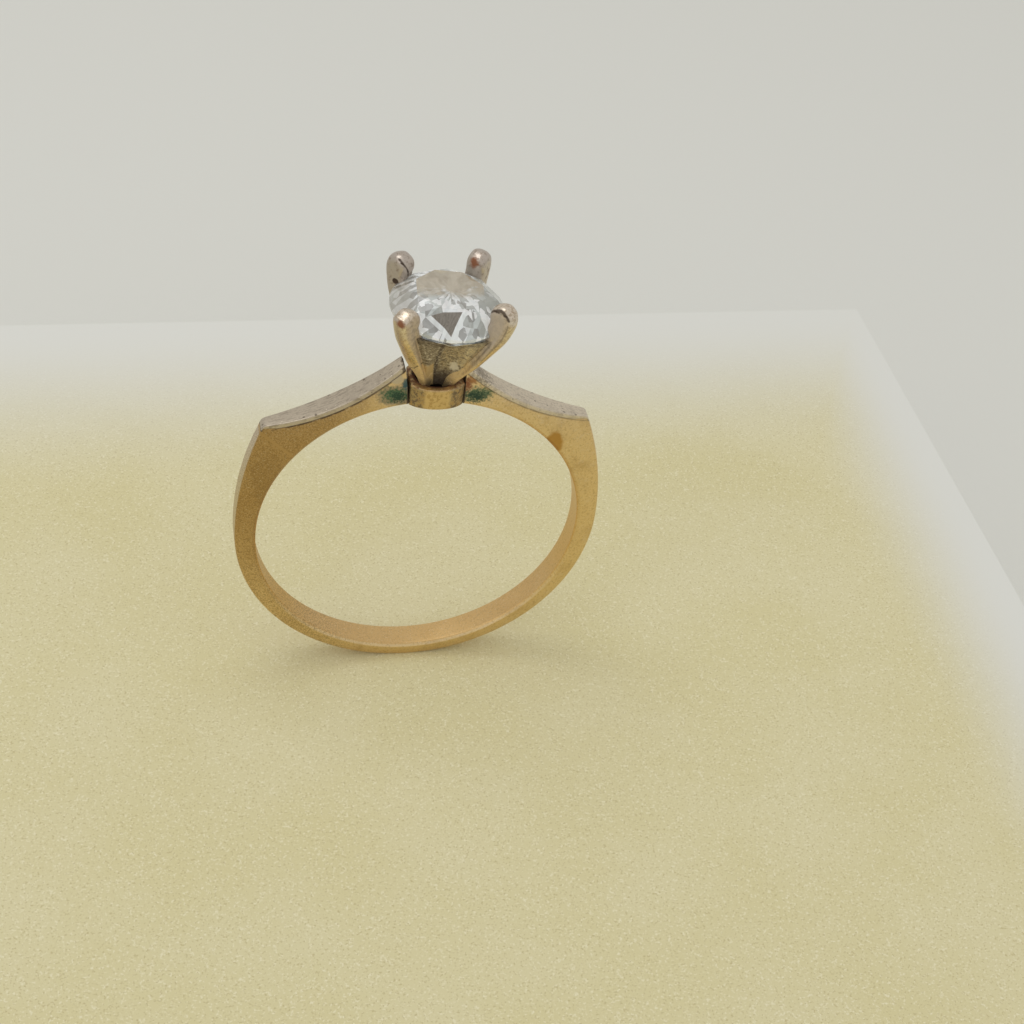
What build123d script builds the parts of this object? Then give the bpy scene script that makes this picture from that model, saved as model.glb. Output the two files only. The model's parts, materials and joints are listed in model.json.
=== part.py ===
from build123d import *
import copy
import math
import os

os.makedirs("parts", exist_ok=True)

# Solitaire engagement ring, millimetres.
# Origin at the centre of the finger hole, +Z to the stone, +Y along the finger, -Y is the front.

# ---------------------------------------------------------------- driving dimensions
FINGER_R = 8.45            # inside radius of the hoop, a 16.9 mm ring size
EDGE_BREAK = 0.18          # bevel along both inner edges of the hoop
INNER_HALF_WIDTH = 0.82    # half the hoop's width where it touches the finger
SIDE_TAPER = 0.204         # each side closes in by this much per mm of radius
BLANK_R = 11.6             # radius that clears the tops of both shoulders
CLEAR_DEPTH = 3            # reaches past the front and back of every hoop piece

SHANK_R = 9.517            # round outside of the lower shank
SHANK_RISE = 0.217         # its centre stands this far above the finger hole's centre
FLANK_R = 18.17            # slack curve from the widest point up to the square shoulder
CORNER_X = 8.195           # where the flank meets the dished top face: the square shoulder
CORNER_ROUND = 0.25
DISH_R = 13.4              # hollow curve of each top face, rising from the corner to the head
DISH_CENTRE = (10.868, 20.133)
DISH_END_X = 1.0           # the hollow curve runs on to here, past the shoulder's cut end

HEAD_X = 0.17              # collet and head sit this far to the right of the hoop's centre
COLLET_TOP = 9.65
COLLET_HALF_X = 1.34       # flat sides of the collet, where the shoulders are soldered on
COLLET_OUT = (1.62, 1.30)  # outer ellipse radii before the flats
COLLET_IN = (1.02, 0.93)   # inner ellipse radii
COLLET_FLOOR = 9.22        # dark solder has filled the collet's mouth up to here
COLLET_FLOOR_T = 0.25
COLLET_BLANK = 2           # length of tube before its foot is cut to the finger hole
TIP_LEAN = 0.33            # the shoulder's end leans back from the head by this much
TIP_Z = 10.47

PLATE_T = 0.25             # white gold plate on each shoulder
SEAM_ANGLE = 38.5          # solder seams, degrees above the horizontal
SEAM_T = 0.12

HEAD_TILT = 3.35           # the head leans to +X by this many degrees
STONE_R = 2.80
GIRDLE_UP = 4.02           # middle of the girdle above the collet's rim, along the head's axis
GIRDLE_T = 0.20
TABLE_RATIO = 0.61
CROWN_ANGLE = 39
PAVILION_ANGLE = 40.8
STAR_RATIO = 0.62
STONE_TURN = 16.5          # the stone was set with its facets turned this far from the hoop
LOWER_HALF_RATIO = 0.77

# Each claw was bent down by hand: its azimuth, widest reach from the axis and height of its tip.
CLAWS = {
    "claw_front_left": (223, 3.95, 5.22),
    "claw_front_right": (315, 3.72, 5.70),
    "claw_back_left": (136, 3.52, 5.60),
    "claw_back_right": (51, 3.40, 5.86),
}
CLAW_FOOT_Z = 9.25         # the claws' feet reach down inside the collet's mouth
CLAW_STRAIGHT_UP = 1.6     # all four claws are alike up to here, along the head's axis
CLAW_WIDEST_UP = 4.72
# Outer side as (distance from the head's axis, height up the axis); then for a reach of 3.9.
CLAW_STEM = [(0.98, -0.8), (1.05, -0.25), (1.22, 0.15), (1.56, 0.7), (2.20, 1.6)]
CLAW_SWELL = [(2.95, 2.75), (3.55, 3.75), (3.90, 4.72)]
CLAW_DEPTH = 1.28          # from the widest point in to the nose that holds the stone down
CREST_MIDDLE = (0.22, 0.16)    # in from the reach and down from the tip
CREST_END = 0.62
NOSE_MIDDLE = (0.17, 0.23)     # out from the nose and down from the tip
NOSE_END = 0.72
CLAW_LAP = 0.1                 # the claw's underside runs on into the stone, which cuts its seat
CLAW_LAP_UP = 4.15
CLAW_BLANK_HALF = 1.5
CLAW_INSIDE = [(2.30, 3.40), (1.25, 1.30), (0.62, 0.20), (0.62, -0.80)]
# Half widths as (height, half width): narrow feet, broad blades.
CLAW_HALF_WIDTHS = [(-0.8, 0.24), (0.1, 0.28), (1.25, 0.40), (2.4, 0.43), (4.0, 0.43), (7.0, 0.43)]
CLAW_EDGE_ROUND = 0.20
SHORTEST_ROUNDED = 0.52    # shorter edges stay sharp, and so does the side next to the cup,
ROUNDED_FROM = 1.9         # nearer the axis than this

CUP_FOOT = (-0.20, 0.70, 0.25)   # height, half side and corner rounding of the square foot
CUP_RIM = (3.75, 2.58, 1.50)     # the same at the rim
FLUTE_R = 1.10             # round valley cut into each side of the cup
FLUTE_BOTTOM = [(0.45, -0.60), (1.22, 1.80), (2.69, 3.95)]
CUP_WALL_GAP = 0.08        # the cavity stays this far below the stone
CUP_BORE_R = 0.30
CUP_SEAT_R = 1.75          # the stone rests on the cup outside this radius
CUP_OPEN = 2               # the cavity is cut on above the rim, and the bore on below the foot

# ---------------------------------------------------------------- planes and helpers
head_plane = Plane(
    origin=(HEAD_X, 0, COLLET_TOP),
    x_dir=(math.cos(math.radians(HEAD_TILT)), 0, -math.sin(math.radians(HEAD_TILT))),
    z_dir=(math.sin(math.radians(HEAD_TILT)), 0, math.cos(math.radians(HEAD_TILT))),
)


def head_point(azimuth, radius, height):
    """A point of the head, by azimuth in degrees, distance from its axis and height."""
    turn = math.radians(azimuth)
    local = Vector(radius * math.cos(turn), radius * math.sin(turn), height)
    return head_plane.from_local_coords(local)


def head_side_plane(azimuth):
    """Plane through the head's axis: its x runs outward at the azimuth, its y up the axis."""
    outward = head_point(azimuth, 1, 0) - head_plane.origin
    return Plane(origin=head_plane.origin, x_dir=outward, z_dir=outward.cross(head_plane.z_dir))


def facet_plane(a, b, c, inside):
    """Plane through three corners of a facet, facing away from a point inside the stone."""
    normal = (b - a).cross(c - a)
    if normal.dot(inside - a) > 0:
        normal = normal * -1
    return Plane(origin=a, x_dir=b - a, z_dir=normal)


def dish_z(x):
    """Height of the dished top face over a distance from the ring's middle."""
    return DISH_CENTRE[1] - math.sqrt(DISH_R**2 - (DISH_CENTRE[0] - x) ** 2)


def flank_x(z):
    """Half width of the hoop at a height on the flank's slack curve."""
    return SHANK_R - FLANK_R + math.sqrt(FLANK_R**2 - (z - SHANK_RISE) ** 2)


# ---------------------------------------------------------------- hoop blank, cut up below
corner_z = dish_z(CORNER_X)
dish_mid_x = (DISH_END_X + CORNER_X) / 2
flank_mid_z = (SHANK_RISE + corner_z) / 2
bottom_mid = math.sqrt(0.5) * SHANK_R

with BuildPart() as hoop_blank:
    with BuildSketch(Plane.XZ):
        with BuildLine():
            for side in (-1, 1):
                ThreePointArc((side * DISH_END_X, dish_z(DISH_END_X)),
                              (side * dish_mid_x, dish_z(dish_mid_x)),
                              (side * CORNER_X, corner_z))
                ThreePointArc((side * CORNER_X, corner_z),
                              (side * flank_x(flank_mid_z), flank_mid_z),
                              (side * SHANK_R, SHANK_RISE))
                ThreePointArc((side * SHANK_R, SHANK_RISE),
                              (side * bottom_mid, SHANK_RISE - bottom_mid),
                              (0, SHANK_RISE - SHANK_R))
            Line((-DISH_END_X, dish_z(DISH_END_X)), (DISH_END_X, dish_z(DISH_END_X)))
        make_face()
        fillet(vertices().filter_by(lambda v: abs(abs(v.X) - CORNER_X) < 0.01), radius=CORNER_ROUND)
    extrude(amount=CLEAR_DEPTH, both=True)
    with BuildSketch(Plane.XY):
        with BuildLine():
            bevel_start = INNER_HALF_WIDTH - SIDE_TAPER * EDGE_BREAK
            outer_half = INNER_HALF_WIDTH - SIDE_TAPER * (BLANK_R - FINGER_R)
            Polyline(
                (FINGER_R, -INNER_HALF_WIDTH + EDGE_BREAK),
                (FINGER_R + EDGE_BREAK, -bevel_start),
                (BLANK_R, -outer_half),
                (BLANK_R, outer_half),
                (FINGER_R + EDGE_BREAK, bevel_start),
                (FINGER_R, INNER_HALF_WIDTH - EDGE_BREAK),
                close=True,
            )
        make_face()
    revolve(axis=Axis.Y, mode=Mode.INTERSECT)


def upper_wedge(offset_up):
    """Outline of the space above both solder seams, as corners in the XZ plane."""
    turn = math.radians(SEAM_ANGLE)
    far_x = 2 * BLANK_R * math.cos(turn) - offset_up * math.sin(turn)
    far_z = 2 * BLANK_R * math.sin(turn) + offset_up * math.cos(turn)
    return [(0, offset_up / math.cos(turn)), (far_x, far_z), (-far_x, far_z)]


# The space of both shoulders, and the same space with both solder seams in it.
with BuildPart() as shoulder_wedge:
    with BuildSketch(Plane.XZ):
        Polygon(*upper_wedge(SEAM_T / 2), align=None)
    extrude(amount=CLEAR_DEPTH, both=True)

with BuildPart() as seam_wedge:
    with BuildSketch(Plane.XZ):
        Polygon(*upper_wedge(-SEAM_T / 2), align=None)
    extrude(amount=CLEAR_DEPTH, both=True)

# The white gold layer just under both dished top faces.
with BuildPart() as plate_layer:
    with BuildSketch(Plane.XZ):
        for side in (-1, 1):
            with Locations((side * DISH_CENTRE[0], DISH_CENTRE[1])):
                Circle(DISH_R + PLATE_T)
    extrude(amount=CLEAR_DEPTH, both=True)

# ---------------------------------------------------------------- lower shank
with BuildPart() as shank:
    add(hoop_blank.part)
    add(seam_wedge.part, mode=Mode.SUBTRACT)
shank.part.label = "shank"
export_step(shank.part, "parts/shank.step")

# ---------------------------------------------------------------- shoulders, plates and seams
for name, side in (("left", -1), ("right", 1)):
    end_x = HEAD_X + side * COLLET_HALF_X
    tip_x = end_x + side * TIP_LEAN

    # The head's space, from the shoulder's leaning end face over to the far side of the ring.
    with BuildPart() as head_space:
        with BuildSketch(Plane.XZ):
            Polygon((end_x, -BLANK_R), (end_x, COLLET_TOP), (tip_x, TIP_Z), (tip_x, BLANK_R),
                    (-side * BLANK_R, BLANK_R), (-side * BLANK_R, -BLANK_R), align=None)
        extrude(amount=CLEAR_DEPTH, both=True)

    with BuildPart() as shoulder:
        add(hoop_blank.part)
        add(shoulder_wedge.part, mode=Mode.INTERSECT)
        add(head_space.part, mode=Mode.SUBTRACT)
        add(plate_layer.part, mode=Mode.SUBTRACT)
    shoulder.part.label = name + "_shoulder"
    export_step(shoulder.part, "parts/" + name + "_shoulder.step")

    with BuildPart() as plate:
        add(hoop_blank.part)
        add(shoulder_wedge.part, mode=Mode.INTERSECT)
        add(head_space.part, mode=Mode.SUBTRACT)
        add(plate_layer.part, mode=Mode.INTERSECT)
    plate.part.label = name + "_shoulder_plate"
    export_step(plate.part, "parts/" + name + "_shoulder_plate.step")

    with BuildPart() as seam:
        add(hoop_blank.part)
        add(seam_wedge.part, mode=Mode.INTERSECT)
        add(shoulder_wedge.part, mode=Mode.SUBTRACT)
        add(head_space.part, mode=Mode.SUBTRACT)
    seam.part.label = name + "_solder_seam"
    export_step(seam.part, "parts/" + name + "_solder_seam.step")

# ---------------------------------------------------------------- under collet
with BuildPart() as under_collet:
    with BuildSketch(Plane.XY.offset(COLLET_TOP)):
        with Locations((HEAD_X, 0)):
            Ellipse(*COLLET_OUT)
            Rectangle(2 * COLLET_HALF_X, 2 * COLLET_OUT[1], mode=Mode.INTERSECT)
            Ellipse(*COLLET_IN, mode=Mode.SUBTRACT)
    extrude(amount=-COLLET_BLANK)
    with BuildSketch(Plane.XY.offset(COLLET_FLOOR)):
        with Locations((HEAD_X, 0)):
            Ellipse(*COLLET_IN)
    extrude(amount=-COLLET_FLOOR_T)
    with BuildSketch(Plane.XZ):
        Circle(FINGER_R)
    extrude(amount=CLEAR_DEPTH, both=True, mode=Mode.SUBTRACT)
under_collet.part.label = "under_collet"
export_step(under_collet.part, "parts/under_collet.step")

# ---------------------------------------------------------------- round brilliant stone
girdle_top = GIRDLE_UP + GIRDLE_T / 2
girdle_bottom = GIRDLE_UP - GIRDLE_T / 2
table_r = TABLE_RATIO * STONE_R
half_step = math.cos(math.radians(22.5))
crown_slope = math.tan(math.radians(CROWN_ANGLE))
pavilion_slope = math.tan(math.radians(PAVILION_ANGLE))
table_up = girdle_top + (STONE_R - table_r) * crown_slope
culet_up = girdle_bottom - STONE_R * pavilion_slope
table_flat = table_r * half_step
star_r = table_flat + STAR_RATIO * (STONE_R - table_flat)
star_up = girdle_top + (STONE_R - star_r * half_step) * crown_slope
lower_r = STONE_R * (1 - LOWER_HALF_RATIO)
lower_up = girdle_bottom - (STONE_R - lower_r * half_step) * pavilion_slope
stone_middle = head_point(0, 0, GIRDLE_UP)

facets = []
for facet_number in range(8):
    main = STONE_TURN + 45 * facet_number
    table_corner = head_point(main, table_r, table_up)
    next_corner = head_point(main + 45, table_r, table_up)
    star_tip = head_point(main + 22.5, star_r, star_up)
    last_star_tip = head_point(main - 22.5, star_r, star_up)
    lower_tip = head_point(main + 22.5, lower_r, lower_up)
    last_lower_tip = head_point(main - 22.5, lower_r, lower_up)
    culet = head_point(main, 0, culet_up)
    facets.append(facet_plane(table_corner, last_star_tip, star_tip, stone_middle))
    facets.append(facet_plane(table_corner, next_corner, star_tip, stone_middle))
    facets.append(facet_plane(culet, last_lower_tip, lower_tip, stone_middle))
    for half in (-22.5, 22.5):
        girdle_main = head_point(main, STONE_R, girdle_top)
        girdle_half = head_point(main + half, STONE_R, girdle_top)
        crown_tip = star_tip if half > 0 else last_star_tip
        facets.append(facet_plane(girdle_main, girdle_half, crown_tip, stone_middle))
        under_main = head_point(main, STONE_R, girdle_bottom)
        under_half = head_point(main + half, STONE_R, girdle_bottom)
        pavilion_tip = lower_tip if half > 0 else last_lower_tip
        facets.append(facet_plane(under_main, under_half, pavilion_tip, stone_middle))

with BuildPart() as round_brilliant:
    with BuildSketch(head_plane.offset(culet_up)):
        Circle(STONE_R)
    extrude(amount=table_up - culet_up)
    for facet in facets:
        split(bisect_by=facet, keep=Keep.BOTTOM)
round_brilliant.part.label = "round_brilliant"
export_step(round_brilliant.part, "parts/round_brilliant.step")

# ---------------------------------------------------------------- four claws
with BuildPart() as below_feet:
    with BuildSketch(Plane.XY.offset(CLAW_FOOT_Z)):
        Rectangle(4 * STONE_R, 4 * STONE_R)
    extrude(amount=-2 * STONE_R)

claw_blanks = []
for name, (azimuth, reach, tip_up) in CLAWS.items():
    side_view = head_side_plane(azimuth)
    front_view = Plane(origin=side_view.origin, x_dir=-side_view.z_dir, z_dir=side_view.x_dir)
    nose = reach - CLAW_DEPTH
    swell = []
    for radius, up in CLAW_SWELL:
        share = (up - CLAW_STRAIGHT_UP) / (CLAW_WIDEST_UP - CLAW_STRAIGHT_UP)
        swell.append((radius + (reach - CLAW_SWELL[-1][0]) * share, up))
    with BuildPart() as claw:
        with BuildSketch(side_view):
            with BuildLine():
                back = Spline(*CLAW_STEM, *swell)
                crest = ThreePointArc(
                    back @ 1,
                    (reach - CREST_MIDDLE[0], tip_up - CREST_MIDDLE[1]),
                    (reach - CREST_END, tip_up),
                )
                tip = ThreePointArc(
                    crest @ 1,
                    (nose + NOSE_MIDDLE[0], tip_up - NOSE_MIDDLE[1]),
                    (nose, tip_up - NOSE_END),
                )
                Polyline(tip @ 1, (nose - CLAW_LAP, CLAW_LAP_UP), *CLAW_INSIDE, back @ 0)
            make_face()
        extrude(amount=CLAW_BLANK_HALF, both=True)
        with BuildSketch(front_view):
            with BuildLine():
                left_side = Spline(*[(-half, up) for up, half in CLAW_HALF_WIDTHS])
                right_side = Spline(*[(half, up) for up, half in CLAW_HALF_WIDTHS])
                Line(left_side @ 0, right_side @ 0)
                Line(left_side @ 1, right_side @ 1)
            make_face()
        extrude(amount=2 * STONE_R, mode=Mode.INTERSECT)
        claw_blanks.append(copy.copy(claw.part))
        long_edges = claw.edges().filter_by(lambda e: e.length > SHORTEST_ROUNDED)
        fillet(
            long_edges.filter_by(lambda e: side_view.to_local_coords(e.center()).X > ROUNDED_FROM),
            radius=CLAW_EDGE_ROUND,
        )
        add(below_feet.part, mode=Mode.SUBTRACT)
        add(under_collet.part, mode=Mode.SUBTRACT)
        add(round_brilliant.part, mode=Mode.SUBTRACT)
    claw.part.label = name
    export_step(claw.part, "parts/" + name + ".step")

# ---------------------------------------------------------------- fluted cup under the stone
with BuildPart() as head_cup:
    for height, half_side, rounding in (CUP_FOOT, CUP_RIM):
        with BuildSketch(head_plane.offset(height)):
            RectangleRounded(2 * half_side, 2 * half_side, rounding)
    loft()
    for azimuth in (0, 90, 180, 270):
        with BuildLine(head_side_plane(azimuth)):
            valley = ThreePointArc(*[(radius + FLUTE_R, up) for radius, up in FLUTE_BOTTOM])
        with BuildSketch(Plane(origin=valley @ 0, z_dir=valley % 0)):
            Circle(FLUTE_R)
        sweep(path=valley, mode=Mode.SUBTRACT)
    with BuildSketch(head_side_plane(0)):
        with BuildLine():
            seat_up = girdle_bottom - (STONE_R - CUP_SEAT_R) * pavilion_slope
            throat_up = girdle_bottom - (STONE_R - CUP_BORE_R) * pavilion_slope - CUP_WALL_GAP
            Polyline(
                (0, -CUP_OPEN),
                (CUP_BORE_R, -CUP_OPEN),
                (CUP_BORE_R, throat_up),
                (CUP_SEAT_R, seat_up - CUP_WALL_GAP),
                (CUP_SEAT_R, seat_up + CUP_OPEN),
                (0, seat_up + CUP_OPEN),
                close=True,
            )
        make_face()
    revolve(axis=Axis(head_plane.origin, head_plane.z_dir), mode=Mode.SUBTRACT)
    add(round_brilliant.part, mode=Mode.SUBTRACT)
    add(under_collet.part, mode=Mode.SUBTRACT)
    for claw_blank in claw_blanks:
        add(claw_blank, mode=Mode.SUBTRACT)
head_cup.part.label = "head_cup"
export_step(head_cup.part, "parts/head_cup.step")
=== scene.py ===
"""A worn gold solitaire ring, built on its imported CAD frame. Sizes are in mm; MM turns them to metres."""
import json
import math

import bmesh
import bpy
import numpy as np
from mathutils import Matrix, Vector


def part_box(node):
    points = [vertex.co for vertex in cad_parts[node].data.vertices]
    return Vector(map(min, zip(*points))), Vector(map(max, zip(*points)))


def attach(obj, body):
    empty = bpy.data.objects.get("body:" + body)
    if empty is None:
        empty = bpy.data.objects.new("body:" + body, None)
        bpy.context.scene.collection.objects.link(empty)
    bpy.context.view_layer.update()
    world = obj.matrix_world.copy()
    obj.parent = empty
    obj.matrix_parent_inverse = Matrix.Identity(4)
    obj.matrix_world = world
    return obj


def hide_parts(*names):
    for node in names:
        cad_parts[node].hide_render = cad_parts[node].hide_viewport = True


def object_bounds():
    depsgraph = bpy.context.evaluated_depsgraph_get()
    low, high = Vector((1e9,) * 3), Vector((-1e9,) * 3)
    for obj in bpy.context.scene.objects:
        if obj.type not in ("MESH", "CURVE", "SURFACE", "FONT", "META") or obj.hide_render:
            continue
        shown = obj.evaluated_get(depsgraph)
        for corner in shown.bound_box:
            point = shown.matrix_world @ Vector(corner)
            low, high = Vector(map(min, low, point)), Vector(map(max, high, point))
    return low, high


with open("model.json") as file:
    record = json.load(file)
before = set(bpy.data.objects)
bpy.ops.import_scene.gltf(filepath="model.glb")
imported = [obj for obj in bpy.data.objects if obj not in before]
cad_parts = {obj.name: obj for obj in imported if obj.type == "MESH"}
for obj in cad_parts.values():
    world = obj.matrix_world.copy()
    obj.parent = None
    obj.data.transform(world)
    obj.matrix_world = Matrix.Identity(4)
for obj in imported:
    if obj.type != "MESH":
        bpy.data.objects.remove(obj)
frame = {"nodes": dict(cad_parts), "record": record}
cad_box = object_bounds()

MM = 0.001
record = frame["record"]
scene = bpy.context.scene

# ---------------------------------------------------------------- sizes shared with the CAD
finger_mount = [m for m in record["mounts"] if m["name"] == "finger_hole"][0]
FINGER_R = finger_mount["dims"]["r_mm"]
EDGE_BREAK = 0.18
INNER_HALF_WIDTH = 0.82
SIDE_TAPER = 0.204
SHANK_R = 9.517
SHANK_RISE = 0.217
FLANK_R = 18.17
DISH_R = 13.4
DISH_CENTRE = (10.868, 20.133)
PLATE_T = 0.25
SEAM_ANGLE = 38.5
SEAM_T = 0.12
SEAM_MIDDLE_R = 9
HEAD_X = 0.17
COLLET_TOP = 9.65
COLLET_HALF_X = 1.34
COLLET_OUT = (1.62, 1.30)
COLLET_IN = (1.02, 0.93)
COLLET_FLOOR = 9.22
COLLET_FLOOR_T = 0.25
TIP_LEAN = 0.33
HEAD_TILT = 3.35
STONE_R = 2.80
GIRDLE_UP = 4.02
GIRDLE_T = 0.20
PAVILION_ANGLE = 40.8
TABLE_RATIO = 0.61
CROWN_ANGLE = 39
STONE_TURN = 16.5
TIP_Z = 10.47
# Azimuth, widest reach from the head's axis and height of the tip.
CLAWS = {
    "claw_front_left": (223, 3.955, 5.32),
    "claw_front_right": (315, 3.72, 5.72),
    "claw_back_left": (136, 3.56, 5.635),
    "claw_back_right": (51, 3.40, 5.85),
}


# ---------------------------------------------------------------- mesh helpers
SHARP_ANGLE = 50


def new_mesh(name, verts_mm, faces):
    mesh = bpy.data.meshes.new(name)
    mesh.from_pydata([tuple(c * MM for c in v) for v in verts_mm], [], faces)
    mesh.validate()
    obj = bpy.data.objects.new(name, mesh)
    scene.collection.objects.link(obj)
    bm = bmesh.new()
    bm.from_mesh(mesh)
    bmesh.ops.recalc_face_normals(bm, faces=bm.faces)
    bm.to_mesh(mesh)
    bm.free()
    mesh.polygons.foreach_set("use_smooth", [True] * len(mesh.polygons))
    mesh.set_sharp_from_angle(angle=math.radians(SHARP_ANGLE))
    return obj


def loft(name, rings, ends="caps"):
    """Skin a list of equal rings. ends is "caps" for a bar or "loop" for a closed tube of rings."""
    count = len(rings[0])
    verts = [p for ring in rings for p in ring]
    faces = []
    steps = len(rings) if ends == "loop" else len(rings) - 1
    for i in range(steps):
        a = i * count
        b = ((i + 1) % len(rings)) * count
        for k in range(count):
            n = (k + 1) % count
            faces.append((a + k, a + n, b + n, b + k))
    if ends == "caps":
        faces.append(tuple(range(count)))
        faces.append(tuple(reversed(range((len(rings) - 1) * count, len(rings) * count))))
    return new_mesh(name, verts, faces)


def round_corners(points, radii, steps=5):
    """A closed 2D outline with each corner rounded by its own radius."""
    out = []
    count = len(points)
    for i, (corner, radius) in enumerate(zip(points, radii)):
        p = Vector(corner)
        before = (Vector(points[i - 1]) - p).normalized()
        after = (Vector(points[(i + 1) % count]) - p).normalized()
        half = before.angle(after) / 2
        reach = radius / math.tan(half)
        start = p + before * reach
        end = p + after * reach
        for k in range(steps + 1):
            t = k / steps
            out.append((1 - t) ** 2 * start + 2 * t * (1 - t) * p + t * t * end)
    return out


def soft_min(a, b, soft, strength=1.0):
    """The lower of two values, with the corner between them worn round."""
    return min(a, b) - soft * math.log(1 + math.exp(-abs(a - b) / soft)) * strength


def spaced(a, b, count):
    """Evenly spaced values from a to b."""
    return [a + (b - a) * i / (count - 1) for i in range(count)]


def ramp(value, low, high):
    """0 at low and below, 1 at high and above, straight between."""
    return min(1.0, max(0.0, (value - low) / (high - low)))


# ---------------------------------------------------------------- hoop
# How far the edges are worn round.
OUTER_ROUND = 0.11
INNER_ROUND = 0.05
PLATE_ROUND = 0.06
PLATE_UNDER_ROUND = 0.035
ARM_TOP_ROUND = 0.03
CORNER_ROUND = 0.07
DISH_STARTS_ANGLE = 27
SHANK_SECTIONS = 420
SHOULDER_SECTIONS = 170
# The shoulders' ends bend over to the collet's flat side through this angle.
END_BEND_ANGLE = 8
# The plates thin out toward the square corners.
PLATE_FULL_T_ANGLES = (39.5, 43.0)
PLATE_T_RANGE = (0.06, 0.60)
SHOULDER_GAP = 0.01


def ray_circle(angle, centre_x, centre_z, radius, far=True):
    """Distance from the finger hole's centre to a circle, along an angle above +X."""
    dx, dz = math.cos(angle), math.sin(angle)
    along = dx * centre_x + dz * centre_z
    reach = math.sqrt(along**2 - centre_x**2 - centre_z**2 + radius**2)
    return along + reach if far else along - reach


def dish_z(x):
    return DISH_CENTRE[1] - math.sqrt(DISH_R**2 - (DISH_CENTRE[0] - x) ** 2)


def outer_r(angle):
    """Outer radius of the hoop along an angle in degrees above +X, for the right half."""
    turn = math.radians(angle)
    bottom = ray_circle(turn, 0, SHANK_RISE, SHANK_R)
    flank = ray_circle(turn, SHANK_R - FLANK_R, SHANK_RISE, FLANK_R)
    lower = flank if flank * math.sin(turn) > SHANK_RISE else bottom
    if angle < DISH_STARTS_ANGLE:
        return lower
    dish = ray_circle(turn, DISH_CENTRE[0], DISH_CENTRE[1], DISH_R, far=False)
    return soft_min(lower, dish, CORNER_ROUND)


def bar_ring(side, angle, low_u, high_u, top_round, fade=0.0, proud=0.0):
    """One cross-section of the hoop between two heights above the finger hole's wall.

    fade bends the section over to the shoulder's end face: 0 is radial, 1 is the face itself.
    """
    turn = math.radians(angle)
    top_u = outer_r(angle) - FINGER_R

    def place(u, y):
        x = math.cos(turn) * (FINGER_R + u)
        z = math.sin(turn) * (FINGER_R + u)
        if fade:
            target = HEAD_X * side + COLLET_HALF_X + SHOULDER_GAP
            target += TIP_LEAN * max(0, z - COLLET_TOP) / (TIP_Z - COLLET_TOP)
            new_x = x + (target - x) * fade
            share = min(1, u / top_u)
            bore_rise = math.sqrt(FINGER_R**2 - new_x**2) - math.sqrt(FINGER_R**2 - x**2)
            z += share * (dish_z(new_x) - dish_z(x)) + (1 - share) * bore_rise
            x = new_x
        return (side * x, y, z)

    def half_at(u):
        return INNER_HALF_WIDTH - SIDE_TAPER * u + proud

    if low_u <= 0:
        outline = [
            (0, -half_at(0) + EDGE_BREAK),
            (EDGE_BREAK, -half_at(EDGE_BREAK)),
            (high_u, -half_at(high_u)),
            (high_u, half_at(high_u)),
            (EDGE_BREAK, half_at(EDGE_BREAK)),
            (0, half_at(0) - EDGE_BREAK),
        ]
        corner_radii = [INNER_ROUND, INNER_ROUND, top_round, top_round, INNER_ROUND, INNER_ROUND]
    else:
        outline = [
            (low_u, -half_at(low_u)),
            (high_u, -half_at(high_u)),
            (high_u, half_at(high_u)),
            (low_u, half_at(low_u)),
        ]
        corner_radii = [PLATE_UNDER_ROUND, top_round, top_round, PLATE_UNDER_ROUND]
    return [place(p.x, p.y) for p in round_corners(outline, corner_radii)]


def closing_ring(ring, inset=0.03):
    """A slightly smaller copy of an end section, which takes the edge off the end face."""
    centre = sum((Vector(p) for p in ring), Vector()) / len(ring)
    return [tuple(Vector(p) - (Vector(p) - centre).normalized() * inset) for p in ring]


def plate_depth(angle):
    """How far below the dished top the plate's underside lies, along the angle's own ray."""
    turn = math.radians(angle)
    top = ray_circle(turn, DISH_CENTRE[0], DISH_CENTRE[1], DISH_R, far=False)
    under = ray_circle(turn, DISH_CENTRE[0], DISH_CENTRE[1], DISH_R + PLATE_T, far=False)
    return top - under


def shoulder_span(side):
    """Angles of a shoulder's two ends above its own side's horizontal."""
    end_x = abs(HEAD_X + side * COLLET_HALF_X)
    return SEAM_ANGLE, math.degrees(math.acos(end_x / FINGER_R))


def seam_reach():
    """Half of a solder seam's thickness as an angle of the hoop."""
    return math.degrees(SEAM_T / 2 / SEAM_MIDDLE_R)


def make_shank():
    rings = []
    for angle in spaced(SEAM_ANGLE, 180 - SEAM_ANGLE - 360, SHANK_SECTIONS):
        side = 1 if angle > -90 else -1
        own = angle if side > 0 else -180 - angle
        rings.append(bar_ring(side, own, 0, outer_r(own) - FINGER_R, OUTER_ROUND))
    return loft("shank_body", rings)


def make_shoulder(side, name, part):
    """part is "arm" for the yellow gold body or "plate" for its white gold top."""
    low, high = shoulder_span(side)
    thinnest, thickest = PLATE_T_RANGE
    rings = []
    for angle in spaced(low + seam_reach(), high, SHOULDER_SECTIONS):
        top = outer_r(angle) - FINGER_R
        fade = ramp(angle, high - END_BEND_ANGLE, high) ** 1.5
        step = min(plate_depth(angle), thickest) * ramp(angle, *PLATE_FULL_T_ANGLES) ** 0.5
        step = max(step, thinnest)
        if part == "arm":
            rings.append(bar_ring(side, angle, 0, top - step, ARM_TOP_ROUND, fade))
        else:
            rings.append(bar_ring(side, angle, top - step, top, PLATE_ROUND, fade))
    rings.append(closing_ring(rings[-1]))
    return loft(name, rings)


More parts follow.
